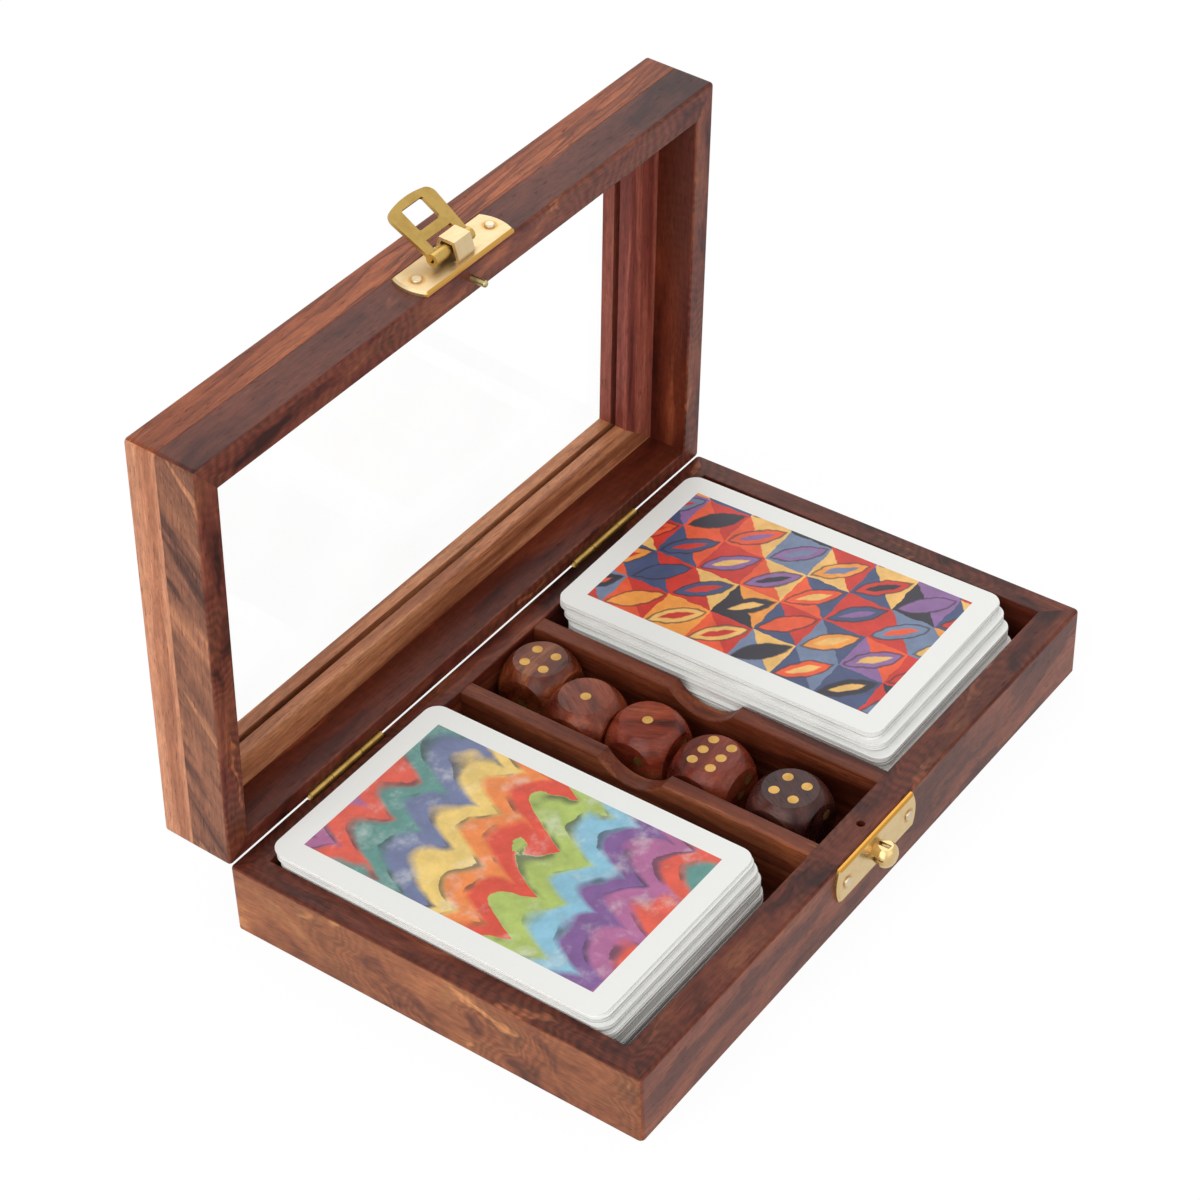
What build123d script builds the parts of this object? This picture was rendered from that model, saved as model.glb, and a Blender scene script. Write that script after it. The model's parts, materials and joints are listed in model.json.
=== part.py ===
from build123d import *
import os
from math import cos, hypot, radians, sin

# A games box of solid rosewood: a low tray with two dividers for two decks of cards and five
# dice, and a hinged lid whose frame holds a glass pane. The clasp and the hinges are brass.
#
# Millimetres. X runs along the hinge, -Y is the clasp side and +Z is up. The origin is the
# centre of the tray's underside. The lid stands open on its stop, with the hasp thrown back.

# ---- Driving dimensions -------------------------------------------------------------------

# Contents that the box is made round: two decks of cards and a row of dice
card_width = 58.0
card_length = 88.0
card_corner = 3.6
card_thickness = 0.3
card_count = 54
die_size = 16.0

# Room beside the left deck, beside the right one, along both, across the dice, and the least
# at the end of their row
left_card_room = 8.9
right_card_room = 8.1
long_card_room = 6.7
die_room = 7.6
dice_end_room = 1.0

# Heights of the box, and its rounded corners and edges
base_height = 18.7
lid_height = 18.6
corner_radius = 1.2
edge_ease = 0.8
inner_ease = 0.3
foot_ease = 0.4
seam_ease = 0.15

# Walls of the tray, mitred at the corners
base_front_wall_thickness = 7.6
base_back_wall_thickness = 6.2
base_side_wall_thickness = 6.3

# Floor, let into a rebate under the walls
floor_thickness = 2.7
floor_rebate = 3.0
floor_fit = 0.1

# Dividers, which stand between the front and the back wall, with finger notches
divider_thickness = 4.4
divider_drop = 0.3
divider_ease = 0.4
notch_length = 17.5
notch_depth = 4.5
notch_corner = 1.0

# Lid: a low ring of walls, and on it a frame of wider members that holds the glass
rim_gap = 0.2
lid_open = 87.2
ring_height = 10.4
ring_front_wall_thickness = 7.6
ring_back_wall_thickness = 5.0
ring_side_wall_thickness = 6.3
frame_long_width = 13.6
frame_short_width = 17.0
frame_lip = 3.2
glass_thickness = 1.5
glass_play = 0.05
glass_bite = 3.0
glass_edge_gap = 0.4

# Butt hinges, let into the back faces
hinge_length = 24.8
left_hinge_inset = 39.0
right_hinge_inset = 40.5
end_knuckle = 7.3
knuckle_gap = 0.15
barrel_radius = 1.1
barrel_clearance = 0.3
pin_radius = 0.45
pin_clearance = 0.02
leaf_thickness = 0.6
leaf_height = 7.0
leaf_corner = 0.6
leaf_fit = 0.05
mortise_play = 0.8

# Brads of the hinges, three to a leaf
brad_spacing = 8.4
brad_reach = 4.4
brad_head_radius = 0.95
brad_head_height = 0.3
brad_head_ease = 0.25
brad_shank_radius = 0.4
brad_shank_length = 4.0
nail_fit = 0.02

# Clasp plates, one on the tray and one on the lid, and their nails
clasp_x = -1.4
plate_length = 29.6
plate_height = 9.6
plate_thickness = 1.1
plate_bulge = 1.2
plate_bevel = 0.5
nail_spacing = 25.0
nail_head_radius = 1.2
nail_head_height = 0.5
nail_head_ease = 0.4
nail_shank_radius = 0.5
nail_shank_length = 5.0

# Bridge of the lid's plate: heights above the rim, and above the plate's face
strap_width = 5.5
strap_thickness = 0.8
strap_height = 4.8
strap_foot_low = 0.9
strap_top_low = 2.4
strap_top_high = 6.5
strap_foot_high = 8.0
strap_bend = 1.6

# Hasp, which swings on a rolled eye under the bridge. Reaches are measured from its axis.
hasp_axis_up = 4.5
hasp_axis_out = 2.2
hasp_sidewise = -1.2
hasp_raised = 30.4
hasp_thickness = 0.9
hasp_root_half_width = 6.5
hasp_end_half_width = 7.5
hasp_end_reach = 13.1
hasp_reach = 14.3
hasp_end_corner = 2.4
hasp_eye_radius = 1.5
hasp_eye_bore = 0.6
hasp_slot_near = 1.7
hasp_slot_far = 4.1
hasp_slot_width = 8.2
hasp_window_near = 6.45
hasp_window_far = 12.25
hasp_window_width = 7.05
hasp_window_corner = 0.5

# Catch on the tray's plate: a hollow pressed knob, lanced across and flat above and below
catch_sidewise = -0.9
catch_lift = 0.1
catch_neck_radius = 2.4
catch_bulb_radius = 3.1
catch_flats = 2.55
catch_bulb_height = 2.4
catch_height = 5.0
catch_flat_radius = 0.8
catch_wall = 0.8
catch_slot = 1.3
catch_slot_low = 0.5
catch_slot_high = 3.6

# Locating pin in the lid's rim and its hole in the tray's rim
locating_inset = 3.5
locating_radius = 0.8
locating_reach = 4.0
locating_root = 5.0
locating_tip_ease = 0.5
locating_clearance = 0.2
locating_hole_depth = 4.6
locating_slot = 0.35
locating_slot_depth = 0.5

# Dice, whose flat faces are discs, and their inlaid pips
die_flat_radius = 6.4
opposite_total = 7
pip_radius = 1.25
pip_depth = 0.9
pip_fit = 0.01
pip_spread = 2.6
six_long_spread = 4.0
six_short_spread = 2.5
# From the back of the slot: gap behind the die, how far it lies right of the slot's middle, its
# turn in degrees, and the values on top, in front and on the left
dice = {
    "die_1": (0.35, 3.2, 2.0, 4, 2, 1),
    "die_2": (0.35, -1.4, 0.8, 1, 3, 2),
    "die_3": (0.35, -0.1, 1.4, 1, 3, 2),
    "die_4": (2.4, -1.3, -2.5, 6, 3, 2),
    "die_5": (4.6, -0.9, -3.0, 4, 2, 1),
}

# Loose decks: the lowest cards' gaps to the left and in front, the height of a card with the
# air under it, and the turn of the top card in degrees
left_deck_gaps = (0.3, 3.7)
left_deck_pitch = 0.35
left_deck_turn = 0.0
right_deck_gaps = (0.7, 0.7)
right_deck_pitch = 0.362
right_deck_turn = 0.77
card_wander = 0.12
card_wander_turn = 137.5
# Steps of a leaning deck: from which card on, and how far it lies right and back of the lowest
left_deck_steps = ((0, 0, 0), (16, 0, 0.7), (30, 0, 1.3), (41, 0, 2.1), (47, 0, 3.0), (52, 0, 3.6))
right_deck_steps = ((0, 0, 0), (22, 0.4, 0.6), (33, 1.2, 2.2), (42, 2.2, 4.1), (48, 3.0, 5.8))

# ---- Frames of reference ------------------------------------------------------------------

left_compartment = card_width + left_card_room
right_compartment = card_width + right_card_room
dice_slot = die_size + die_room
inner_length = left_compartment + dice_slot + right_compartment + 2 * divider_thickness
dice_row = sum(die_size + gap for gap, *_ in dice.values())
inner_depth = max(card_length + long_card_room, dice_row + dice_end_room)
box_length = inner_length + 2 * base_side_wall_thickness
box_depth = inner_depth + base_front_wall_thickness + base_back_wall_thickness
half_length = box_length / 2
half_depth = box_depth / 2
inner_side = inner_length / 2
inner_front = base_front_wall_thickness - half_depth
inner_back = half_depth - base_back_wall_thickness
inner_middle = (inner_front + inner_back) / 2
left_divider_x = left_compartment - inner_side
slot_left = left_divider_x + divider_thickness
slot_right = slot_left + dice_slot
right_compartment_x = slot_right + divider_thickness
pivot_y = half_depth - leaf_thickness / 2
pivot_z = base_height + rim_gap / 2
swing = radians(lid_open)
lid_back = Vector(0, cos(swing), -sin(swing))
lid_up = Vector(0, sin(swing), cos(swing))

# The tray stands on one plane, and its rim is another. The lid's rim plane looks into the lid
# and has X and Y as on the tray.
tray = Plane.XY
tray_rim = Plane.XY.offset(base_height)
lid_rim = Plane(
    origin=Vector(0, pivot_y, pivot_z) - lid_back * pivot_y + lid_up * (rim_gap / 2),
    x_dir=(1, 0, 0),
    z_dir=lid_up,
)
frame_seat = lid_rim.offset(ring_height)

# Each hinge has two planes on its axis that look out of the box: Y runs down the tray's leaf
# in one and up the lid's leaf in the other.
hinges = {}
hinge_places = {
    "left": left_hinge_inset - half_length,
    "right": half_length - right_hinge_inset,
}
for hinge_side, hinge_x in hinge_places.items():
    axis_point = (hinge_x, pivot_y, pivot_z)
    hinges[hinge_side] = (
        Plane(origin=axis_point, x_dir=(1, 0, 0), z_dir=(0, 1, 0)),
        Plane(origin=axis_point, x_dir=(-1, 0, 0), z_dir=lid_back),
    )

# The clasp's planes start at the middle of the rims' front edges, and Y runs away from the rim
tray_front = Plane(origin=(clasp_x, -half_depth, base_height), x_dir=(-1, 0, 0), z_dir=(0, -1, 0))
lid_front = Plane(
    origin=lid_rim.from_local_coords((clasp_x, -half_depth, 0)), x_dir=(1, 0, 0), z_dir=-lid_back
)


def across(plane, x, y, z):
    """A plane at a point of another, whose normal is that plane's X and whose Y its normal."""
    return Plane(origin=plane.from_local_coords((x, y, z)), x_dir=plane.y_dir, z_dir=plane.x_dir)


def height_on(plane):
    """The axis along which heights above a plane are sorted."""
    return Axis(plane.origin, plane.z_dir)


def finish(piece, name):
    """Label a finished piece and write its file."""
    piece.part.label = name
    export_step(piece.part, f"parts/{name}.step")


os.makedirs("parts", exist_ok=True)

# ---- Mitred rings of the tray and the lid -------------------------------------------------

# Corners that a member runs between, as signs of X and Y
member_corners = {
    "front": ((-1, -1), (1, -1)),
    "right": ((1, -1), (1, 1)),
    "back": ((1, 1), (-1, 1)),
    "left": ((-1, 1), (-1, -1)),
}
mitre_overrun = 0.1


def ring_member(plane, height, side, widths, outer_eases, inner_eases):
    """One member of a ring, its mitres running from the outer to the inner corners.

    The widths are those of the front, back and side members. The eases are radii of the
    edges at the ring's two ends, 0 below and -1 above.
    """
    front, back, ends = widths
    outer_points = []
    inner_points = []
    for sign_x, sign_y in member_corners[side]:
        outer_point = Vector(sign_x * half_length, sign_y * half_depth)
        inset = Vector(-sign_x * ends, front if sign_y < 0 else -back)
        outer_points.append(outer_point - inset * mitre_overrun)
        inner_points.insert(0, outer_point + inset * (1 + mitre_overrun))
    with BuildPart() as member:
        with BuildSketch(plane):
            RectangleRounded(box_length, box_depth, corner_radius)
            with Locations((0, (front - back) / 2)):
                Rectangle(box_length - 2 * ends, box_depth - front - back, mode=Mode.SUBTRACT)
        extrude(amount=height)
        for end, radius in outer_eases.items():
            end_face = member.faces().sort_by(height_on(plane))[end]
            fillet(end_face.outer_wire().edges(), radius)
        with BuildSketch(plane):
            with BuildLine():
                Polyline(*outer_points, *inner_points, close=True)
            make_face()
        extrude(amount=height, mode=Mode.INTERSECT)
        for end, radius in inner_eases.items():
            end_face = member.faces().sort_by(height_on(plane))[end]
            fillet(end_face.edges().sort_by_distance(plane.origin)[0], radius)
    return member


# ---- Brass leaves, plates and nails that come in pairs ------------------------------------

knuckle_end = hinge_length / 2 - end_knuckle
barrel_pocket = barrel_radius + barrel_clearance
brad_places = ((-brad_spacing, brad_reach), (0, brad_reach), (brad_spacing, brad_reach))
nail_places = ((-nail_spacing / 2, plate_height / 2), (nail_spacing / 2, plate_height / 2))


def hinge_leaf(plane, knuckles, notches):
    """A leaf and its knuckles. Knuckles and notches are spans along the axis."""
    with BuildPart() as leaf:
        with BuildSketch(plane):
            with Locations((0, leaf_height / 2)):
                outline = Rectangle(hinge_length, leaf_height)
            fillet(outline.vertices().group_by(Axis(plane.origin, plane.y_dir))[-1], leaf_corner)
            for start, end in notches:
                with Locations(((start + end) / 2, 0)):
                    Rectangle(end - start, 2 * barrel_pocket, mode=Mode.SUBTRACT)
        extrude(amount=leaf_thickness / 2, both=True)
        for start, end in knuckles:
            with BuildSketch(across(plane, start, 0, 0)):
                Circle(barrel_radius)
            extrude(amount=end - start)
        with BuildSketch(across(plane, -hinge_length / 2, 0, 0)):
            Circle(pin_radius + pin_clearance)
        extrude(amount=hinge_length, mode=Mode.SUBTRACT)
        with BuildSketch(plane):
            with Locations(*brad_places):
                Circle(brad_shank_radius + nail_fit)
        extrude(amount=leaf_thickness / 2, both=True, mode=Mode.SUBTRACT)
    return leaf


def nail_set(faces, places, head, shank):
    """Nails driven into planes at the same places on each; head and shank are sizes."""
    head_radius, head_height, head_ease = head
    shank_radius, shank_length = shank
    with BuildPart() as nails:
        for face in faces:
            with BuildSketch(face):
                with Locations(*places):
                    Circle(head_radius)
        extrude(amount=head_height)
        fillet(nails.edges().group_by(height_on(faces[0]))[-1], head_ease)
        for face in faces:
            with BuildSketch(face):
                with Locations(*places):
                    Circle(shank_radius)
        extrude(amount=-shank_length)
    return nails


def clasp_plate(face):
    """A nailed plate with arched ends and a bevelled face, from the rim to its height."""
    with BuildPart() as plate:
        with BuildSketch(face):
            with BuildLine():
                half = plate_length / 2
                Line((-half, 0), (half, 0))
                ThreePointArc(
                    (half, 0), (half + plate_bulge, plate_height / 2), (half, plate_height)
                )
                Line((half, plate_height), (-half, plate_height))
                ThreePointArc(
                    (-half, plate_height), (-half - plate_bulge, plate_height / 2), (-half, 0)
                )
            make_face()
        extrude(amount=plate_thickness)
        chamfer(plate.faces().sort_by(height_on(face))[-1].edges(), plate_bevel)
        with BuildSketch(face):
            with Locations(*nail_places):
                Circle(nail_shank_radius + nail_fit)
        extrude(amount=plate_thickness, mode=Mode.SUBTRACT)
    return plate


brad_head = (brad_head_radius, brad_head_height, brad_head_ease)
brad_shank = (brad_shank_radius, brad_shank_length)
nail_head = (nail_head_radius, nail_head_height, nail_head_ease)
nail_shank = (nail_shank_radius, nail_shank_length)

# ---- Tray: walls --------------------------------------------------------------------------

base_widths = (base_front_wall_thickness, base_back_wall_thickness, base_side_wall_thickness)
base_outer_eases = {-1: edge_ease, 0: foot_ease}
base_inner_eases = {-1: inner_ease}


def base_wall(side):
    """A wall of the tray with the rebate that takes the floor."""
    stock = ring_member(
        tray, base_height, side, base_widths, base_outer_eases, base_inner_eases
    )
    with BuildPart() as wall:
        add(stock.part)
        with BuildSketch(tray):
            with Locations((0, inner_middle)):
                Rectangle(2 * (inner_side + floor_rebate), inner_depth + 2 * floor_rebate)
        extrude(amount=floor_thickness, mode=Mode.SUBTRACT)
    return wall


finish(base_wall("left"), "base_left_wall")
finish(base_wall("right"), "base_right_wall")

# The front wall takes the nails of the catch plate, and the lid's locating pin
front_stock = base_wall("front")
with BuildPart() as base_front_wall:
    add(front_stock.part)
    with BuildSketch(tray_front):
        with Locations(*nail_places):
            Circle(nail_shank_radius + nail_fit)
    extrude(amount=-nail_shank_length, mode=Mode.SUBTRACT)
    with BuildSketch(tray_rim):
        with Locations((clasp_x, locating_inset - half_depth)):
            Circle(locating_radius + locating_clearance)
    extrude(amount=-locating_hole_depth, mode=Mode.SUBTRACT)
finish(base_front_wall, "base_front_wall")

# The back wall has a box mortise for each barrel and a shallow one for each leaf
back_stock = base_wall("back")
with BuildPart() as base_back_wall:
    add(back_stock.part)
    for hinge, _ in hinges.values():
        with BuildSketch(hinge):
            Rectangle(hinge_length + 2 * mortise_play, 2 * barrel_pocket)
        extrude(amount=barrel_pocket, both=True, mode=Mode.SUBTRACT)
        with BuildSketch(hinge):
            with Locations((0, leaf_height / 2)):
                Rectangle(hinge_length + 2 * leaf_fit, leaf_height + 2 * leaf_fit)
        extrude(amount=leaf_thickness / 2, both=True, mode=Mode.SUBTRACT)
        with BuildSketch(hinge):
            with Locations(*brad_places):
                Circle(brad_shank_radius + nail_fit)
        extrude(amount=-brad_shank_length, mode=Mode.SUBTRACT)
finish(base_back_wall, "base_back_wall")

# ---- Tray: floor and dividers -------------------------------------------------------------

floor_margin = floor_rebate - floor_fit
with BuildPart() as base_floor:
    with BuildSketch(tray):
        with Locations((0, inner_middle)):
            Rectangle(2 * (inner_side + floor_margin), inner_depth + 2 * floor_margin)
    extrude(amount=floor_thickness)
finish(base_floor, "base_floor")

divider_height = base_height - divider_drop - floor_thickness
notch_radius = (notch_length**2 / 4 + notch_depth**2) / (2 * notch_depth)


def divider(left_face):
    """A divider that stands on the floor, its left face at X, notched in the middle."""
    profile_plane = Plane(
        origin=(left_face, inner_middle, floor_thickness), x_dir=(0, 1, 0), z_dir=(1, 0, 0)
    )
    with BuildPart() as board:
        with BuildSketch(profile_plane) as profile:
            with Locations((0, divider_height / 2)):
                Rectangle(inner_depth, divider_height)
            with Locations((0, divider_height + notch_radius - notch_depth)):
                Circle(notch_radius, mode=Mode.SUBTRACT)
            notch_ends = profile.vertices().group_by(Axis.Z)[-1].sort_by(
                lambda corner: abs(corner.Y - inner_middle)
            )[:2]
            fillet(notch_ends, notch_corner)
        extrude(amount=divider_thickness)
        ends_and_foot = board.edges().filter_by(
            lambda edge: abs(edge.center().Y - inner_middle) > inner_depth / 2 - notch_corner / 9
            or edge.center().Z < floor_thickness + notch_corner
        )
        across_top = board.edges().filter_by(Axis.X)
        fillet(board.edges() - ends_and_foot - across_top, divider_ease)
    return board


finish(divider(left_divider_x), "divider_left")
finish(divider(slot_right), "divider_right")

# ---- Lid: ring of walls -------------------------------------------------------------------

ring_widths = (ring_front_wall_thickness, ring_back_wall_thickness, ring_side_wall_thickness)
ring_outer_eases = {0: edge_ease, -1: seam_ease}
ring_inner_eases = {0: inner_ease}


def ring_wall(side):
    """A wall of the lid's ring, its eased edges at the rim."""
    return ring_member(
        lid_rim, ring_height, side, ring_widths, ring_outer_eases, ring_inner_eases
    )


finish(ring_wall("left"), "lid_left_wall")
finish(ring_wall("right"), "lid_right_wall")

# The front wall takes the nails of the hasp's plate and the root of the locating pin
ring_front_stock = ring_wall("front")
with BuildPart() as lid_front_wall:
    add(ring_front_stock.part)
    with BuildSketch(lid_front):
        with Locations(*nail_places):
            Circle(nail_shank_radius + nail_fit)
    extrude(amount=-nail_shank_length, mode=Mode.SUBTRACT)
    with BuildSketch(lid_rim):
        with Locations((clasp_x, locating_inset - half_depth)):
            Circle(locating_radius + nail_fit)
    extrude(amount=locating_root, mode=Mode.SUBTRACT)
finish(lid_front_wall, "lid_front_wall")

# The back wall has a round groove for each barrel and a shallow mortise for each leaf
ring_back_stock = ring_wall("back")
with BuildPart() as lid_back_wall:
    add(ring_back_stock.part)
    for _, hinge in hinges.values():
        groove_length = hinge_length + 2 * barrel_clearance
        with BuildSketch(across(hinge, -groove_length / 2, 0, 0)):
            Circle(barrel_pocket)
        extrude(amount=groove_length, mode=Mode.SUBTRACT)
        with BuildSketch(hinge):
            with Locations((0, leaf_height / 2)):
                Rectangle(hinge_length + 2 * leaf_fit, leaf_height + 2 * leaf_fit)
        extrude(amount=leaf_thickness / 2, both=True, mode=Mode.SUBTRACT)
        with BuildSketch(hinge):
            with Locations(*brad_places):
                Circle(brad_shank_radius + nail_fit)
        extrude(amount=-brad_shank_length, mode=Mode.SUBTRACT)
finish(lid_back_wall, "lid_back_wall")

# ---- Lid: frame and glass -----------------------------------------------------------------

frame_widths = (frame_long_width, frame_long_width, frame_short_width)
frame_height = lid_height - ring_height
frame_outer_eases = {-1: edge_ease, 0: seam_ease}
frame_inner_eases = {-1: inner_ease, 0: inner_ease}
opening_length = box_length - 2 * frame_short_width
opening_depth = box_depth - 2 * frame_long_width
slot_height = glass_thickness + 2 * glass_play

for side in member_corners:
    frame_stock = ring_member(
        frame_seat, frame_height, side, frame_widths, frame_outer_eases, frame_inner_eases
    )
    with BuildPart() as frame_member:
        add(frame_stock.part)
        with BuildSketch(frame_seat.offset(frame_lip)):
            Rectangle(opening_length + 2 * glass_bite, opening_depth + 2 * glass_bite)
        extrude(amount=slot_height, mode=Mode.SUBTRACT)
    finish(frame_member, f"lid_frame_{side}")

glass_margin = glass_bite - glass_edge_gap
with BuildPart() as glass_pane:
    with BuildSketch(frame_seat.offset(frame_lip + glass_play)):
        Rectangle(opening_length + 2 * glass_margin, opening_depth + 2 * glass_margin)
    extrude(amount=glass_thickness)
finish(glass_pane, "glass_pane")

# ---- Hinges -------------------------------------------------------------------------------

# The tray's leaf has the two end knuckles, and the lid's has the middle one
end_knuckles = ((-hinge_length / 2, -knuckle_end), (knuckle_end, hinge_length / 2))
middle_knuckle = ((knuckle_gap - knuckle_end, knuckle_end - knuckle_gap),)
middle_notch = ((-knuckle_end, knuckle_end),)
end_notches = (
    (-hinge_length / 2, knuckle_gap - knuckle_end),
    (knuckle_end - knuckle_gap, hinge_length / 2),
)

for side, (tray_hinge, lid_hinge) in hinges.items():
    finish(hinge_leaf(tray_hinge, end_knuckles, middle_notch), f"hinge_{side}_base_leaf")
    finish(hinge_leaf(lid_hinge, middle_knuckle, end_notches), f"hinge_{side}_lid_leaf")
    with BuildPart() as hinge_pin:
        with BuildSketch(across(tray_hinge, -hinge_length / 2, 0, 0)):
            Circle(pin_radius)
        extrude(amount=hinge_length)
    finish(hinge_pin, f"hinge_{side}_pin")

tray_leaf_faces = [tray_hinge.offset(leaf_thickness / 2) for tray_hinge, _ in hinges.values()]
lid_leaf_faces = [lid_hinge.offset(leaf_thickness / 2) for _, lid_hinge in hinges.values()]
finish(nail_set(tray_leaf_faces, brad_places, brad_head, brad_shank), "base_hinge_brads")
finish(nail_set(lid_leaf_faces, brad_places, brad_head, brad_shank), "lid_hinge_brads")

# ---- Clasp: plates and nails --------------------------------------------------------------

tray_plate_face = tray_front.offset(plate_thickness)
lid_plate_face = lid_front.offset(plate_thickness)
finish(nail_set([tray_plate_face], nail_places, nail_head, nail_shank), "catch_plate_nails")
finish(nail_set([lid_plate_face], nail_places, nail_head, nail_shank), "hasp_plate_nails")

# The bridge is bent up from the lid's plate. Its profile closes through the plate.
strap_lean = strap_thickness * (strap_top_low - strap_foot_low) / strap_height
hasp_plate_stock = clasp_plate(lid_front)
with BuildPart() as hasp_plate:
    add(hasp_plate_stock.part)
    with BuildSketch(across(lid_plate_face, -strap_width / 2, 0, 0)) as strap_profile:
        with BuildLine():
            Polyline(
                (strap_foot_low - strap_lean, -strap_thickness),
                (strap_top_low, strap_height),
                (strap_top_high, strap_height),
                (strap_foot_high + strap_lean, -strap_thickness),
                close=True,
            )
        make_face()
        top_corners = strap_profile.vertices().group_by(height_on(lid_plate_face))[-1]
        fillet(top_corners, strap_bend)
        offset(amount=-strap_thickness, mode=Mode.SUBTRACT)
    extrude(amount=strap_width)
finish(hasp_plate, "hasp_plate")

# The catch stands where the hasp's window comes down over it, a little above its middle
hasp_window_middle = (hasp_window_near + hasp_window_far) / 2
catch_down = hasp_window_middle - hasp_axis_up - rim_gap - catch_lift
catch_axis = tray_plate_face.from_local_coords((-catch_sidewise, catch_down, 0))
catch_seat = Plane(origin=catch_axis, x_dir=(1, 0, 0), z_dir=(0, -1, 0))
catch_section = Plane(origin=catch_axis, x_dir=(1, 0, 0), z_dir=(0, 0, 1))
catch_plate_stock = clasp_plate(tray_front)
dome_middle = radians(45)
with BuildPart() as catch_plate:
    add(catch_plate_stock.part)
    for shrink, mode in ((0, Mode.ADD), (catch_wall, Mode.SUBTRACT)):
        neck = catch_neck_radius - shrink
        bulb = catch_bulb_radius - shrink
        rise = catch_height - catch_bulb_height - shrink
        with BuildSketch(catch_section):
            with BuildLine():
                Polyline(
                    (catch_flat_radius, -catch_bulb_height - rise),
                    (0, -catch_bulb_height - rise),
                    (0, plate_thickness),
                    (neck, plate_thickness),
                    (neck, 0),
                    (bulb, -catch_bulb_height),
                )
                ThreePointArc(
                    (bulb, -catch_bulb_height),
                    (
                        catch_flat_radius + (bulb - catch_flat_radius) * cos(dome_middle),
                        -catch_bulb_height - rise * sin(dome_middle),
                    ),
                    (catch_flat_radius, -catch_bulb_height - rise),
                )
            make_face()
        revolve(axis=Axis(catch_axis, (0, 1, 0)), mode=mode)
    with BuildSketch(catch_seat):
        Rectangle(3 * catch_bulb_radius, 3 * catch_bulb_radius)
        Rectangle(3 * catch_bulb_radius, 2 * catch_flats, mode=Mode.SUBTRACT)
    extrude(amount=catch_height, mode=Mode.SUBTRACT)
    with BuildSketch(catch_seat.offset(catch_slot_low)):
        Rectangle(catch_slot, 3 * catch_bulb_radius)
        Rectangle(3 * catch_bulb_radius, catch_slot)
    extrude(amount=catch_slot_high - catch_slot_low, mode=Mode.SUBTRACT)
finish(catch_plate, "catch_plate")

# ---- Clasp: hasp --------------------------------------------------------------------------

# The hasp's plane holds its axis, X along it and Y towards the hasp's free end
raised = radians(hasp_raised)
hasp_origin = lid_plate_face.from_local_coords((hasp_sidewise, hasp_axis_up, hasp_axis_out))
hasp_plane = Plane(
    origin=hasp_origin,
    x_dir=lid_front.x_dir,
    z_dir=lid_front.z_dir * cos(raised) - lid_front.y_dir * sin(raised),
)
hasp_slot_middle = (hasp_slot_near + hasp_slot_far) / 2
with BuildPart() as hasp_leaf:
    with BuildSketch(hasp_plane) as hasp_outline:
        with BuildLine():
            Polyline(
                (-hasp_end_half_width, hasp_end_reach),
                (-hasp_root_half_width, 0),
                (hasp_root_half_width, 0),
                (hasp_end_half_width, hasp_end_reach),
            )
            ThreePointArc(
                (hasp_end_half_width, hasp_end_reach),
                (0, hasp_reach),
                (-hasp_end_half_width, hasp_end_reach),
            )
        make_face()
        fillet(hasp_outline.vertices().group_by(Axis.Y)[-1], hasp_end_corner)
        with Locations((0, hasp_window_middle)):
            RectangleRounded(
                hasp_window_width,
                hasp_window_far - hasp_window_near,
                hasp_window_corner,
                mode=Mode.SUBTRACT,
            )
        with Locations((0, hasp_slot_middle)):
            Rectangle(hasp_slot_width, hasp_slot_far - hasp_slot_near, mode=Mode.SUBTRACT)
    extrude(amount=hasp_thickness / 2, both=True)
    with BuildSketch(across(hasp_plane, -hasp_root_half_width, 0, 0)):
        Circle(hasp_eye_radius)
    extrude(amount=2 * hasp_root_half_width)
    with BuildSketch(across(hasp_plane, -hasp_root_half_width, 0, 0)):
        Circle(hasp_eye_bore)
    extrude(amount=2 * hasp_root_half_width, mode=Mode.SUBTRACT)
finish(hasp_leaf, "hasp_leaf")

# ---- Locating pin -------------------------------------------------------------------------

with BuildPart() as locating_pin:
    with BuildSketch(lid_rim.offset(-locating_reach)):
        with Locations((clasp_x, locating_inset - half_depth)):
            Circle(locating_radius)
    extrude(amount=locating_reach + locating_root)
    fillet(locating_pin.edges().group_by(height_on(lid_rim))[0], locating_tip_ease)
    with BuildSketch(lid_rim.offset(locating_tip_ease - locating_reach)):
        with Locations((clasp_x, locating_inset - half_depth - locating_radius)):
            Rectangle(locating_slot, 2 * locating_slot_depth)
    extrude(amount=locating_reach - locating_tip_ease + locating_root, mode=Mode.SUBTRACT)
finish(locating_pin, "locating_pin")

# ---- Dice ---------------------------------------------------------------------------------


def pip_places(value):
    """Where the pips of a face stand, in the face's own plane."""
    diagonal = [(-pip_spread, -pip_spread), (pip_spread, pip_spread)]
    other_diagonal = [(-pip_spread, pip_spread), (pip_spread, -pip_spread)]
    if value == 6:
        columns = (-six_long_spread, 0, six_long_spread)
        return [(x, y) for x in columns for y in (-six_short_spread, six_short_spread)]
    places = [(0, 0)] if value % 2 else []
    if value > 1:
        places += diagonal
    if value > 3:
        places += other_diagonal
    return places


def die_faces(centre, turn, top, front, left):
    """The planes of a die's six faces, each with its value; opposite faces add up to seven."""
    upright = Plane(origin=centre, x_dir=(cos(turn), sin(turn), 0), z_dir=(0, 0, 1))
    reach = die_size / 2
    looks = (
        (upright.z_dir, upright.x_dir, top),
        (-upright.z_dir, upright.x_dir, opposite_total - top),
        (-upright.y_dir, upright.x_dir, front),
        (upright.y_dir, upright.x_dir, opposite_total - front),
        (-upright.x_dir, upright.y_dir, left),
        (upright.x_dir, upright.y_dir, opposite_total - left),
    )
    return [
        (Plane(origin=Vector(centre) + normal * reach, x_dir=side, z_dir=normal), value)
        for normal, side, value in looks
    ]


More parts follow.
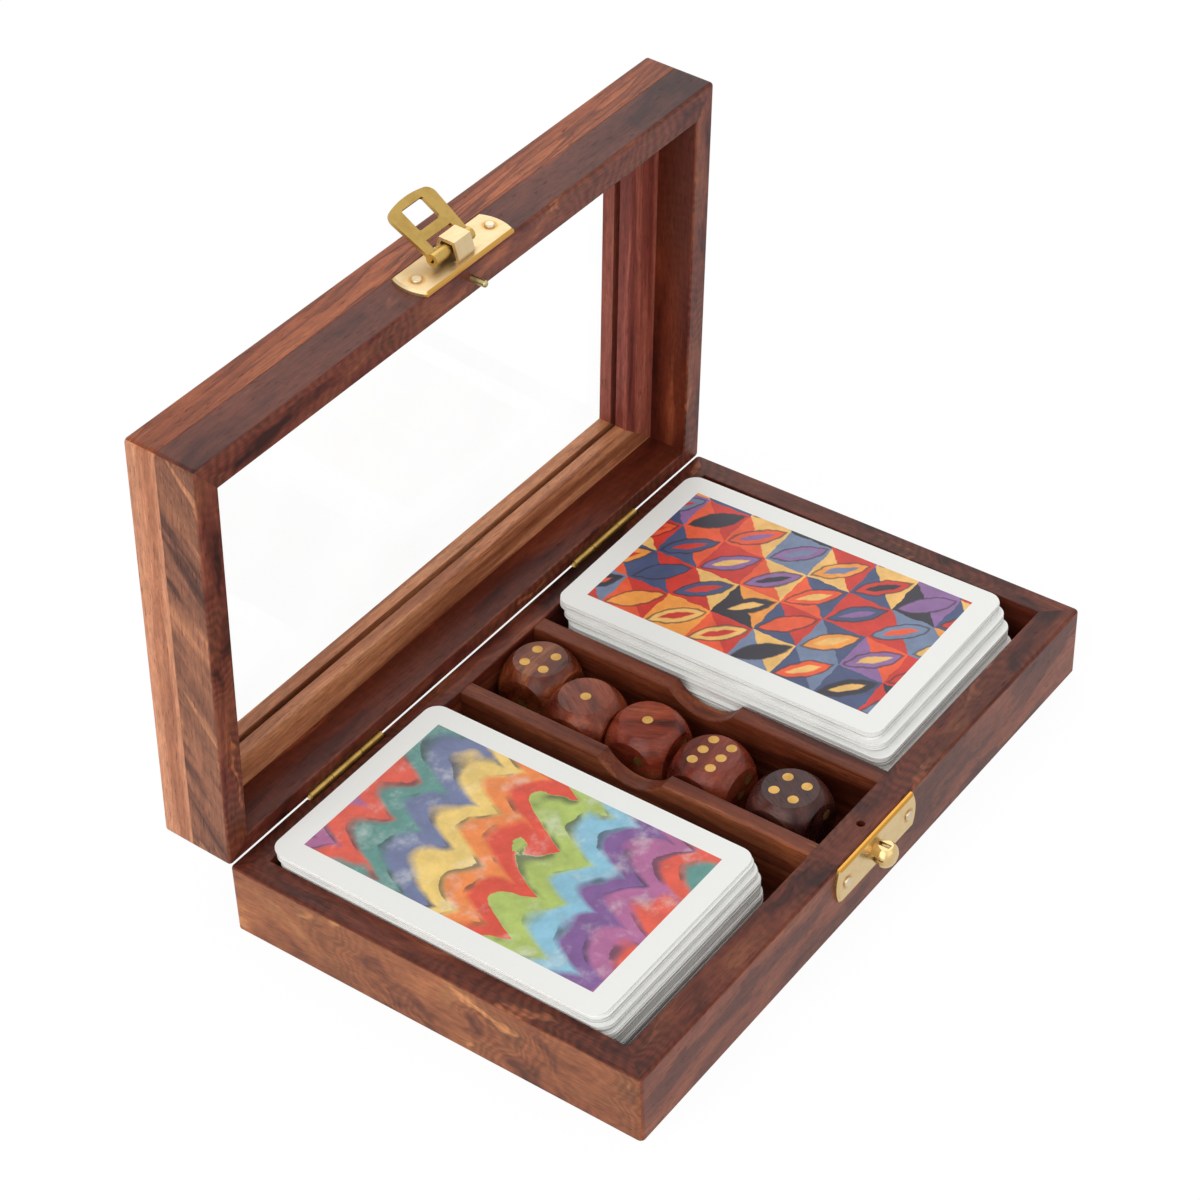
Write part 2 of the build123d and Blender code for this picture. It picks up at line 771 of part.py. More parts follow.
slot_middle = (slot_left + slot_right) / 2
row_end = inner_back
for name, (gap, die_shift, die_turn, top, front, left) in dice.items():
    centre = (
        slot_middle + die_shift,
        row_end - gap - die_size / 2,
        floor_thickness + die_size / 2,
    )
    row_end = row_end - gap - die_size
    turn = radians(die_turn)
    faces = die_faces(centre, turn, top, front, left)
    with BuildPart(Plane(origin=centre, x_dir=(cos(turn), sin(turn), 0), z_dir=(0, 0, 1))) as die:
        Box(die_size, die_size, die_size)
        Sphere(hypot(die_size / 2, die_flat_radius), mode=Mode.INTERSECT)
        for face, value in faces:
            with BuildSketch(face):
                with Locations(*pip_places(value)):
                    Circle(pip_radius + pip_fit)
        extrude(amount=-pip_depth, mode=Mode.SUBTRACT)
    finish(die, name)
    with BuildPart() as die_pips:
        for face, value in faces:
            with BuildSketch(face):
                with Locations(*pip_places(value)):
                    Circle(pip_radius)
        extrude(amount=-pip_depth)
    finish(die_pips, f"{name}_pips")

# ---- Cards --------------------------------------------------------------------------------


def card_plane(x, y, card, pitch, turn):
    """The plane under a card of a deck, centred on the card."""
    height = floor_thickness + card * pitch
    heading = radians(turn)
    return Plane(origin=(x, y, height), x_dir=(cos(heading), sin(heading), 0), z_dir=(0, 0, 1))


def card_deck(name, compartment_x, gaps, pitch, turn, steps):
    """A leaning deck: the cards below the top one are loose solids, and it is by itself."""
    side_gap, front_gap = gaps
    x = compartment_x + side_gap + card_width / 2
    y = inner_front + front_gap + card_length / 2
    last = card_count - 1
    with BuildPart() as cards:
        for card in range(last):
            step_x, step_y = [step[1:] for step in steps if step[0] <= card][-1]
            wander = radians(card * card_wander_turn)
            card_x = x + step_x + card_wander * cos(wander)
            card_y = y + step_y + card_wander * sin(wander)
            with BuildSketch(card_plane(card_x, card_y, card, pitch, turn * card / last)):
                RectangleRounded(card_width, card_length, card_corner)
        extrude(amount=card_thickness)
    finish(cards, f"{name}_cards")
    with BuildPart() as top_card:
        with BuildSketch(card_plane(x + steps[-1][1], y + steps[-1][2], last, pitch, turn)):
            RectangleRounded(card_width, card_length, card_corner)
        extrude(amount=card_thickness)
    finish(top_card, f"{name}_top_card")


card_deck(
    "deck_left", -inner_side, left_deck_gaps, left_deck_pitch, left_deck_turn, left_deck_steps
)
card_deck(
    "deck_right",
    right_compartment_x,
    right_deck_gaps,
    right_deck_pitch,
    right_deck_turn,
    right_deck_steps,
)
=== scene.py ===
import json
import math
import bpy
from mathutils import Matrix, Vector


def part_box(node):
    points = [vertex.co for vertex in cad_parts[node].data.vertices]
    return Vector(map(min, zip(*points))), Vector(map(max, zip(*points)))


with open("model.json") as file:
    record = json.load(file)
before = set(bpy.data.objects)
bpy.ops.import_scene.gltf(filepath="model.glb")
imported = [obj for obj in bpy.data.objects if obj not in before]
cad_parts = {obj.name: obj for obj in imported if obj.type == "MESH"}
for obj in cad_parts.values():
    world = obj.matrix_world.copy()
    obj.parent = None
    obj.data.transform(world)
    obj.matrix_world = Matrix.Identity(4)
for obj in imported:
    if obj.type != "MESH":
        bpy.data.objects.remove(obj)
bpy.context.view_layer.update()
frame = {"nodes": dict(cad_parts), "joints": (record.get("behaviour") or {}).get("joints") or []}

# ---- Camera ---------------------------------------------------------------------------------
# A long lens looks down on the open box from the left of its clasp side, a little rolled. It
# stands well back, so that the far edges look only a little shorter than the near ones.

camera_place = (-0.429297, -0.305527, 0.491061)
camera_turn = (50.5472, 1.5046, -54.1422)
camera_lens = 94.38

lens = bpy.data.cameras.new("camera")
lens.lens = camera_lens
lens.sensor_width = 36
lens.clip_start = 0.01
camera = bpy.data.objects.new("camera", lens)
camera.location = camera_place
camera.rotation_euler = [math.radians(angle) for angle in camera_turn]
bpy.context.scene.collection.objects.link(camera)
bpy.context.scene.camera = camera

# ---- Studio ---------------------------------------------------------------------------------
# A white sweep under and behind the box, lit by a white room and three large soft lamps: the
# main one on the left, a weaker one over the clasp side and a small one behind on the right.

bpy.context.scene.view_settings.view_transform = "Standard"


class Feed:
    """A socket of a finish: sums on it add Math nodes, and node() adds any other node."""

    def __init__(self, tree, socket=None):
        self.tree = tree
        self.socket = socket

    def node(self, kind, settings, sockets, out=0):
        """A node of a kind, with its settings made before its sockets; out is the one given."""
        new = self.tree.nodes.new(kind)
        for name, value in settings.items():
            if name == "stops":
                first, *middle, last = value
                ends = new.color_ramp.elements
                ends[0].position, ends[0].color = first
                ends[1].position, ends[1].color = last
                for place, colour in middle:
                    ends.new(place).color = colour
            elif name == "interpolation":
                new.color_ramp.interpolation = value
            else:
                setattr(new, name, value)
        for name, value in sockets.items():
            if isinstance(value, Feed):
                self.tree.links.new(value.socket, new.inputs[name])
            else:
                new.inputs[name].default_value = value
        return Feed(self.tree, new.outputs[out] if new.outputs else None)

    def sums(self, operation, *values):
        return self.node("ShaderNodeMath", {"operation": operation}, dict(enumerate(values)))

    def larger(self, other):
        return self.sums("MAXIMUM", self, other)

    def floor(self):
        return self.sums("FLOOR", self)

    def sine(self):
        return self.sums("SINE", self)

    def root(self):
        return self.sums("SQRT", self)

    def __add__(self, other):
        return self.sums("ADD", self, other)

    __radd__ = __add__

    def __sub__(self, other):
        return self.sums("SUBTRACT", self, other)

    def __rsub__(self, other):
        return self.sums("SUBTRACT", other, self)

    def __mul__(self, other):
        return self.sums("MULTIPLY", self, other)

    __rmul__ = __mul__

    def __truediv__(self, other):
        return self.sums("DIVIDE", self, other)

    def __mod__(self, other):
        return self.sums("FLOORED_MODULO", self, other)

    def __abs__(self):
        return self.sums("ABSOLUTE", self)


def new_finish(name):
    """A material, and the place on the piece as its first feed."""
    material = bpy.data.materials.new(name)
    material.use_nodes = True
    material.node_tree.nodes.clear()
    start = Feed(material.node_tree)
    return material, start.node("ShaderNodeTexCoord", {}, {}, "Object")


def shown_as(surface):
    """Ends a material's or the world's nodes with the surface."""
    kind = "World" if surface.tree == world.node_tree else "Material"
    surface.node(f"ShaderNodeOutput{kind}", {}, {"Surface": surface})


def seen_directly(start):
    """1 for what the eye, a gloss or a glass shows, and 0 for the light that falls on things."""
    eye = start.node("ShaderNodeLightPath", {}, {}, "Is Camera Ray")
    gloss = start.node("ShaderNodeLightPath", {}, {}, "Is Glossy Ray")
    glass = start.node("ShaderNodeLightPath", {}, {}, "Is Transmission Ray")
    return eye.larger(gloss).larger(glass)


room_light = 0.55
world = bpy.data.worlds.new("white_room")
world.use_nodes = True
world.node_tree.nodes.clear()
bpy.context.scene.world = world
start = Feed(world.node_tree)
fill = start.node("ShaderNodeBackground", {}, {"Color": (1, 1, 1, 1), "Strength": room_light})
white = start.node("ShaderNodeBackground", {}, {"Color": (1, 1, 1, 1), "Strength": 1.0})
shown_as(start.node("ShaderNodeMixShader", {}, {0: seen_directly(start), 1: fill, 2: white}))

sweep_white = 0.9
glow_share = 0.9
glow_strength = 1.03
sweep_size = 12.0
paper, place = new_finish("sweep_paper")
lit = place.node("ShaderNodeBsdfDiffuse", {}, {"Color": (sweep_white, sweep_white, sweep_white, 1)})
glow = place.node("ShaderNodeEmission", {}, {"Color": (1, 1, 1, 1), "Strength": glow_strength})
shown_as(
    place.node("ShaderNodeMixShader", {}, {0: seen_directly(place) * glow_share, 1: lit, 2: glow})
)
sweep_mesh = bpy.data.meshes.new("sweep")
half = sweep_size / 2
sweep_mesh.from_pydata(
    [(-half, -half, 0), (half, -half, 0), (half, half, 0), (-half, half, 0)], [], [(0, 1, 2, 3)]
)
sweep_mesh.materials.append(paper)
sweep = bpy.data.objects.new("sweep", sweep_mesh)
bpy.context.scene.collection.objects.link(sweep)

# Each lamp: where it stands, the side of its square face in metres, and its power in watts
lamps = {
    "main_lamp": ((-1.7, -0.1, 0.9), 2.0, 26.0),
    "clasp_side_lamp": ((-0.1, -1.6, 1.0), 1.6, 6.0),
    "back_lamp": ((1.3, 0.9, 1.4), 1.6, 9.0),
}
for name, (stand, side, power) in lamps.items():
    lamp = bpy.data.lights.new(name, "AREA")
    lamp.size = side
    lamp.energy = power
    holder = bpy.data.objects.new(name, lamp)
    holder.location = stand
    holder.rotation_euler = (-Vector(stand)).to_track_quat("-Z", "Y").to_euler()
    bpy.context.scene.collection.objects.link(holder)

# ---- Tray -----------------------------------------------------------------------------------
# Four walls of solid rosewood, planed and mitred, and a floor let in under them. Each
# board has its own figure: wavy bands of growth, darker streaks, curl, fine fibres and pores.

MM = 0.001


def tint(red, green, blue):
    """A colour of 0 to 255, as on a paint chart, in the shader's own numbers."""
    return (*(((c / 255 + 0.055) / 1.055) ** 2.4 for c in (red, green, blue)), 1.0)


def scaled(vector, x, y, z):
    return vector.node(
        "ShaderNodeVectorMath", {"operation": "MULTIPLY"}, {0: vector, 1: (x, y, z)}
    )


def noise(vector, detail=2.0, roughness=0.5, out="Fac"):
    return vector.node(
        "ShaderNodeTexNoise", {},
        {"Vector": vector, "Scale": 1.0, "Detail": detail, "Roughness": roughness}, out,
    )


def rise(value, low, high, floor=0.0, top=1.0):
    """A smooth rise from floor to top as the value goes from low to high.

    Where low is the larger of the two, it is a fall instead.
    """
    return value.node(
        "ShaderNodeMapRange", {"interpolation_type": "SMOOTHSTEP"},
        {"Value": value, "From Min": low, "From Max": high, "To Min": floor, "To Max": top},
    )


def ramp(value, stops, interpolation="LINEAR"):
    return value.node(
        "ShaderNodeValToRGB", {"stops": stops, "interpolation": interpolation}, {"Fac": value}
    )


def mixed(share, first, second, how="MIX"):
    return share.node(
        "ShaderNodeMix", {"data_type": "RGBA", "blend_type": how}, {0: share, 6: first, 7: second}, 2
    )


def shaded(colour, shade):
    return colour.node("ShaderNodeVectorMath", {"operation": "SCALE"}, {0: colour, "Scale": shade})


def axis(vector, name):
    return vector.node("ShaderNodeSeparateXYZ", {}, {0: vector}, name)


def moved(vector, shift=(0, 0, 0), turn=(0, 0, 0)):
    """The place turned by degrees and then shifted by millimetres."""
    return vector.node(
        "ShaderNodeMapping", {},
        {
            "Vector": vector,
            "Location": [side * MM for side in shift],
            "Rotation": [math.radians(angle) for angle in turn],
        },
    )


curl_pitch = 2.618 * MM


def figure(board, tones, band, wave, lines=5.0, line_dark=0.5, curl=0.0, lean=0):
    """Rosewood colour whose grain runs along X, leaned by degrees in the board's face.

    The tones go from the darkest growth to the lightest. band is how long and how wide its
    patches are; wave is how long, how wide and how deep their bends are, in millimetres.
    """
    long, wide = band
    bend_long, bend_wide, bend = wave
    board = moved(board, turn=(0, lean, 0))
    wander = noise(scaled(board, 1e3 / bend_long, 1e3 / bend_wide, 1e3 / bend_wide), 2.0, 0.5, "Color")
    bent = board.node(
        "ShaderNodeVectorMath", {"operation": "MULTIPLY_ADD"},
        {0: wander, 1: (bend * MM, bend * MM, bend * MM), 2: board},
    )
    growth = noise(scaled(bent, 1e3 / long, 1e3 / wide, 1e3 / wide), 3.0, 0.5)
    last = len(tones) - 1
    colour = ramp(
        growth, [(0.3 + 0.4 * step / last, tint(*tone)) for step, tone in enumerate(tones)]
    )
    ring = (growth * lines) % 1.0
    patchy = rise(noise(scaled(bent, 900 / long, 400 / wide, 400 / wide), 1.0), 0.35, 0.6)
    streak = rise(ring, 0.3, 0.88) * rise(ring, 1.0, 0.88) * patchy * line_dark
    cloud = rise(noise(scaled(bent, 500 / long, 500 / wide, 500 / wide), 2.0), 0.5, 0.68)
    clouded = mixed(cloud * line_dark * 0.7, colour, tint(*tones[0]))
    lined = mixed(streak, clouded, tint(*tones[0]))
    ripple = (axis(bent, "X") * math.tau / curl_pitch + growth * 16.0).sine()
    return shaded(lined, ripple * patchy * curl + 1.0)


def skin(place, name, level, full, gone):
    """1 up to a depth of full from a flat face across the named axis, and 0 beyond gone."""
    return rise(abs(axis(place, name) - level), gone, full)


def fibres(board, colour):
    """The colour with fine fibres and pores along X, and the relief that they leave."""
    fibre = noise(scaled(board, 150, 2400, 2400), 3.0, 0.7)
    fleck = noise(scaled(board, 260, 900, 900), 3.0, 0.7)
    shade = rise(fibre, 0.3, 0.7, 0.82, 1.16) * rise(fleck, 0.3, 0.7, 0.86, 1.13)
    pore = rise(noise(scaled(board, 260, 2800, 2800), 2.0, 0.7), 0.6, 0.7)
    return mixed(pore * 0.5, shaded(colour, shade), tint(50, 20, 14)), fibre * 0.3 - pore


def oiled(board, colour, gloss=0.4, sheen=0.2):
    """Oiled wood with its fibres and pores, as the last nodes of a material."""
    combed, relief = fibres(board, colour)
    bump = board.node(
        "ShaderNodeBump", {}, {"Height": relief, "Strength": 0.4, "Distance": 0.00005}
    )
    shown_as(
        board.node(
            "ShaderNodeBsdfPrincipled", {},
            {
                "Base Color": combed,
                "Roughness": rise(relief, -0.5, 0.2, gloss + 0.2, gloss),
                "Specular IOR Level": sheen,
                "Normal": bump,
            },
        )
    )


def dress(material, *names):
    """Gives CAD nodes their finish."""
    for name in names:
        slots = frame["nodes"][name].data.materials
        slots.clear()
        slots.append(material)


tray_low, tray_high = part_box("base_front_wall")
rim_height = tray_high.z
across_turn = {"x": 0, "y": -90}
face_skin = (0.5 * MM, 1.0 * MM)
rim_skin = (0.2 * MM, 0.7 * MM)

# Tones of the inner faces and the floor: the wood's own red-brown, darkened further as painted shade for
# the shadow inside the tray's rooms and the lid.
red_brown_with_painted_shade = [(48, 16, 10), (84, 32, 19), (110, 48, 29), (136, 68, 42)]
rim_brown = [(44, 15, 10), (86, 38, 26), (114, 56, 38), (146, 84, 56)]
tan_burl = [(78, 40, 28), (132, 76, 49), (160, 98, 62), (192, 130, 82)]
rose_brown = [(70, 32, 24), (108, 56, 42), (132, 72, 52), (162, 94, 64)]

# For each wall: which way its grain runs, the axis and the place of its outer face, and its
# figure outside
walls = {
    "base_front_wall": ("x", "Y", tray_low.y, (rose_brown, (34, 8), (20, 9, 9), 4, 0.6, 0.05, 5)),
    "base_back_wall": ("x", "Y", -tray_low.y, (rose_brown, (60, 7), (30, 12, 9), 4, 0.5, 0.03)),
    "base_left_wall": ("y", "X", tray_low.x, (tan_burl, (26, 11), (14, 9, 16), 3, 0.75, 0.17, 10)),
    "base_right_wall": ("y", "X", -tray_low.x, (rose_brown, (60, 7), (30, 12, 9), 4, 0.5, 0.03)),
}
for seed, (name, (way, side, face, outside)) in enumerate(walls.items()):
    material, place = new_finish(name)
    board = moved(place, (40 * seed, 13 * seed, 9 * seed), (0, 0, across_turn[way]))
    near_face = skin(place, side, face, *face_skin)
    on_rim = skin(place, "Z", rim_height, *rim_skin)
    # Inner faces: red-brown darkened as painted shade.
    inner = figure(board, red_brown_with_painted_shade, (70, 6), (40, 10, 6))
    outer = figure(board, *outside)
    rim = figure(moved(board, (0, 0, 31)), rim_brown, (26, 6), (16, 8, 10), 3, 0.6, 0.24)
    oiled(board, mixed(on_rim, mixed(near_face, inner, outer), rim))
    dress(material, name)

material, place = new_finish("base_floor")
# The floor: red-brown darkened as painted shade, for the shadow in the rooms.
oiled(place, figure(place, red_brown_with_painted_shade, (90, 8), (60, 14, 6)))
dress(material, "base_floor")

# ---- Dividers -------------------------------------------------------------------------------
# Two strips of a lighter, straighter board stand between the front and the back wall, with a
# finger notch cut in the top of each and its corners sanded round.

strip_tones = [(66, 25, 13), (102, 46, 27), (126, 64, 38), (154, 86, 52)]
for seed, name in enumerate(("divider_left", "divider_right")):
    material, place = new_finish(name)
    board = moved(place, (0, 21 * seed, 5 * seed), (0, 0, -90))
    oiled(board, figure(board, strip_tones, (80, 4), (50, 8, 3)))
    dress(material, name)

# ---- Lid: ring and frame --------------------------------------------------------------------
# A low ring of four walls carries a frame of wider members, glued flat on it, so that a straight
# joint runs round the lid's outside. The frame is of lighter, long-grained boards.

lid_hinge = next(joint for joint in frame["joints"] if joint["name"] == "lid_hinge")
lid_angle = -lid_hinge["range_deg"][0]
hinge_point = Vector(lid_hinge["pos_m"])


def as_closed(place):
    """The place on the lid as it is when the lid is shut, so that grain follows the boards."""
    turned = Matrix.Rotation(math.radians(lid_angle), 3, "X") @ hinge_point
    return moved(place, (hinge_point - turned) / MM, (lid_angle, 0, 0))


shut_gap = 0.2 * MM
lid_rim_height = rim_height + shut_gap
purple_brown = [(56, 26, 22), (92, 48, 38), (112, 60, 46), (134, 76, 56)]
orange_tan = [(96, 42, 24), (144, 74, 44), (168, 92, 56), (190, 112, 72)]
ring_side = [(70, 38, 28), (120, 74, 54), (152, 98, 70), (188, 126, 88)]
side_tan = [(136, 80, 56), (174, 112, 80), (194, 132, 98), (214, 152, 116)]
mottled = [(50, 18, 13), (104, 48, 36), (130, 70, 50), (164, 94, 60)]
ring_walls = {
    "lid_front_wall": ("x", "Y", tray_low.y, (purple_brown, (36, 8), (24, 10, 9), 3, 0.5, 0.03, 4)),
    "lid_back_wall": ("x", "Y", -tray_low.y, (purple_brown, (50, 8), (30, 12, 8), 3, 0.5, 0.03)),
    "lid_left_wall": ("y", "X", tray_low.x, (ring_side, (34, 4), (26, 9, 6), 5, 0.6, 0.05, -38)),
    "lid_right_wall": ("y", "X", -tray_low.x, (purple_brown, (30, 6), (20, 8, 9), 3, 0.5, 0.03)),
}
for seed, (name, (way, side, face, outside)) in enumerate(ring_walls.items()):
    material, place = new_finish(name)
    shut = as_closed(place)
    board = moved(shut, (31 * seed, 17 * seed, 60 + 9 * seed), (0, 0, across_turn[way]))
    near_face = skin(shut, side, face, *face_skin)
    on_rim = skin(shut, "Z", lid_rim_height, *rim_skin)
    # Inner faces of the ring: red-brown darkened as painted shade.
    inner = figure(board, red_brown_with_painted_shade, (50, 7), (30, 10, 8), 3, 0.5, 0.06)
    outer = figure(board, *outside)
    rim = figure(moved(board, (0, 0, 31)), mottled, (26, 6), (16, 8, 10), 3, 0.6, 0.24)
    oiled(board, mixed(on_rim, mixed(near_face, inner, outer), rim))
    dress(material, name)

inner_tan = [(124, 66, 40), (164, 102, 68), (188, 124, 86), (208, 148, 108)]
inner_pink = [(92, 36, 32), (136, 68, 56), (158, 86, 70), (188, 116, 90)]
members = {
    "lid_frame_front": ("x", "Y", tray_low.y, (orange_tan, (110, 5), (80, 12, 9), 9, 0.8, 0, 3), inner_tan),
    "lid_frame_back": ("x", "Y", -tray_low.y, (orange_tan, (110, 4), (80, 12, 9), 4, 0.6), inner_tan),
    "lid_frame_left": ("y", "X", tray_low.x, (side_tan, (110, 5), (60, 12, 6), 4, 0.4), inner_pink),
    "lid_frame_right": ("y", "X", -tray_low.x, (orange_tan, (90, 5), (60, 12, 6), 4, 0.6), inner_pink),
}
for seed, (name, (way, side, face, outside, under)) in enumerate(members.items()):
    material, place = new_finish(name)
    shut = as_closed(place)
    board = moved(shut, (23 * seed, 11 * seed, 30 + 7 * seed), (0, 0, across_turn[way]))
    near_face = skin(shut, side, face, *face_skin)
    inner = figure(board, under, (90, 4), (60, 9, 3), 4, 0.5)
    outer = figure(board, *outside)
    oiled(board, mixed(near_face, inner, outer))
    dress(material, name)

# ---- Glass ----------------------------------------------------------------------------------
# A clear pane of float glass, slid into the slot in the frame's members before they were glued
# together. Only a faint smear of shine shows on it.

material, place = new_finish("glass")
clear = place.node("ShaderNodeBsdfTransparent", {}, {"Color": (0.995, 1, 0.995, 1)})
shine = place.node("ShaderNodeBsdfGlossy", {}, {"Color": (1, 1, 1, 1), "Roughness": 0.03})
smear = noise(scaled(place, 30, 30, 30), 3.0)
shown_as(
    place.node(
        "ShaderNodeMixShader", {}, {0: rise(smear, 0.3, 0.7, 0.005, 0.018), 1: clear, 2: shine}
    )
)
dress(material, "glass_pane")

# ---- Brass: hinges, clasp, pins and brads ---------------------------------------------------
# Stamped from thin brass sheet: the plates' faces are polished pale, deeper in colour on their
# bevels and round the nails; the hasp is only pickled and the nails are paler, with domed heads.


def brass(name, face, deep, gloss, *nodes, rub=None):
    """Rubbed sheet brass. rub tells from the place how far the deep colour shows on it."""
    material, place = new_finish(name)
    cloud = noise(scaled(place, 320, 320, 320), 3.0, 0.6)
    scratch = noise(scaled(moved(place, turn=(0, 0, 20)), 160, 5200, 5200), 2.0)
    share = rise(cloud, 0.4, 0.72, 0.0, 0.45)
    if rub:
        share = (share * 0.5).larger(rub(place))
    bump = place.node(
        "ShaderNodeBump", {},
        {"Height": scratch + cloud * 2.0, "Strength": 0.25, "Distance": 0.00004},
    )
    shown_as(
        place.node(
            "ShaderNodeBsdfPrincipled", {},
            {
                "Base Color": mixed(share, tint(*face), tint(*deep)),
                "Metallic": 1.0,
                "Roughness": rise(scratch, 0.3, 0.7, gloss, gloss + 0.12),
                "Normal": bump,
            },
        )
    )
    dress(material, *nodes)


nail_radius = 1.2 * MM
bevel_from, bevel_full = 4.25 * MM, 4.4 * MM
halo_from, halo_full = 1.15 * MM, 1.3 * MM
halo_fades, halo_gone = 1.4 * MM, 2.2 * MM


def nail_marks(place):
    """How deep the colour is on a plate seen from its front: on its bevels and by its nails."""
    low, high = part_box("catch_plate_nails")
    middle = (low.x + high.x) / 2
    reach = (high.x - low.x) / 2 - nail_radius
    side = abs(abs(axis(place, "X") - middle) - reach)
    up = abs(axis(place, "Z") - (low.z + high.z) / 2)
    bevel = rise(up, bevel_from, bevel_full)
    apart = (side * side + up * up).root()
    halo = rise(apart, halo_from, halo_full) * rise(apart, halo_gone, halo_fades)
    return bevel.larger(halo)


def lid_nail_marks(place):
    """The same on the lid's plate, which is its mirror image in the shut box's seam."""
    seam = rim_height + shut_gap / 2
    shut = as_closed(place)
    flipped = shut.node(
        "ShaderNodeVectorMath", {"operation": "MULTIPLY_ADD"},
        {0: shut, 1: (1, 1, -1), 2: (0, 0, 2 * seam)},
    )
    return nail_marks(flipped)


brass(
    "hinge_brass", (206, 170, 96), (150, 108, 48), 0.36,
    "hinge_left_base_leaf", "hinge_right_base_leaf", "hinge_left_lid_leaf",
    "hinge_right_lid_leaf", "hinge_left_pin", "hinge_right_pin", "base_hinge_brads",
    "lid_hinge_brads",
)
brass("pin_brass", (190, 176, 128), (140, 122, 72), 0.36, "locating_pin")
brass("catch_brass", (208, 182, 132), (190, 140, 62), 0.26, "catch_plate", rub=nail_marks)
brass("plate_brass", (208, 186, 146), (196, 148, 72), 0.38, "hasp_plate", rub=lid_nail_marks)
brass("hasp_brass", (190, 158, 90), (156, 122, 58), 0.34, "hasp_leaf")
brass("nail_brass", (206, 192, 166), (172, 148, 108), 0.34, "catch_plate_nails", "hasp_plate_nails")

# ---- Dice -----------------------------------------------------------------------------------
# Cubes of dark rosewood turned to a ball, which leaves round flats, with brass pins for pips.
# Each is cut from another piece of wood and polished finer than the box.

die_tones = {
    "die_1": [(64, 25, 12), (112, 49, 26), (142, 71, 38), (168, 98, 56)],
    "die_2": [(74, 27, 16), (120, 53, 32), (148, 71, 43), (170, 94, 60)],
    "die_3": [(72, 25, 16), (118, 45, 29), (142, 61, 39), (162, 82, 54)],
    "die_4": [(64, 21, 14), (110, 42, 27), (134, 57, 37), (158, 80, 52)],
    "die_5": [(28, 12, 12), (54, 25, 22), (72, 36, 32), (92, 52, 44)],
}
for seed, (name, tones) in enumerate(die_tones.items()):
    material, place = new_finish(f"{name}_wood")
    board = moved(place, (17 * seed, 9 * seed, 5 * seed), (0, 0, -60 * seed))
    oiled(board, figure(board, tones, (22, 5), (16, 8, 6), 6, 0.4, 0.04), gloss=0.26, sheen=0.25)
    dress(material, name)
    brass(f"{name}_pip_brass", (200, 160, 92), (156, 114, 52), 0.46, f"{name}_pips")

# ---- Cards ----------------------------------------------------------------------------------
# Two decks of coated cards with round corners, loose in their rooms. The top cards have a white
# border round a print in watercolour tones: waves on one, a quilt of leaves on the other.


def print_finish(place, colour):
    """Coated card in a colour, as the last nodes of a material."""
    shown_as(
        place.node(
            "ShaderNodeBsdfPrincipled", {},
            {"Base Color": colour, "Roughness": 0.42, "Specular IOR Level": 0.35},
        )
    )


card_white = tint(240, 241, 237)
card_width, card_length = 58.0, 88.0
card_border = 5.6
print_blur = 0.12

# How high each deck's cards lie one above another, in millimetres. Each card's cut edge is painted a
# little whiter or greyer than the next, in patches along it, as painted shade in the gaps between the
# cards; its face is white.
for name, pitch in {"deck_left_cards": 0.35, "deck_right_cards": 0.362}.items():
    material, place = new_finish(name)
    height = (axis(place, "Z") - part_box(name)[0].z) / (pitch * MM)
    card = height.floor()
    shade = card.node("ShaderNodeTexWhiteNoise", {"noise_dimensions": "1D"}, {"W": card})
    gap_shade_patches = noise(scaled(place, 90, 90, 400), 2.0)
    # The grey on the cut edges is painted shade of the gaps between the cards.
    edge = mixed(rise(shade * gap_shade_patches, 0.12, 0.5), tint(244, 244, 241), tint(186, 186, 182))
    print_finish(place, mixed(rise(height % 1.0, 0.78, 0.83), edge, card_white))
    dress(material, name)


def card_print(name, turn, art):
    """A top card's finish: art is a function of the place on the card, in millimetres."""
    low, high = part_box(name)
    centre = (low + high) / 2
    material, place = new_finish(name)
    around = moved(moved(place, -centre / MM), (0, 0, 0), (0, 0, -turn))
    sheet = scaled(around, 1 / MM, 1 / MM, 1 / MM)
    half_width = card_width / 2 - card_border
    half_length = card_length / 2 - card_border
    across = rise(abs(axis(sheet, "X")), half_width + print_blur, half_width)
    along = rise(abs(axis(sheet, "Y")), half_length + print_blur, half_length)
    on_top = rise(axis(sheet, "Z"), 0.0, 0.05)
    wash = noise(scaled(sheet, 0.16, 0.16, 0.16), 5.0, 0.65)
    inked = shaded(art(sheet), rise(wash, 0.3, 0.7, 0.86, 1.12))
    print_finish(place, mixed(across * along * on_top, card_white, inked))
    dress(material, name)


wave_tones = [
    (222, 82, 62), (240, 140, 74), (240, 206, 120), (112, 122, 158), (96, 148, 140),
    (226, 92, 72), (176, 104, 150), (126, 88, 146), (140, 192, 214), (176, 196, 104),
]


scallop_turn, scallop_depth = 0.22, 8.5
band_slope, band_repeat = 0.35, 78.0
drift_depth = 16.0


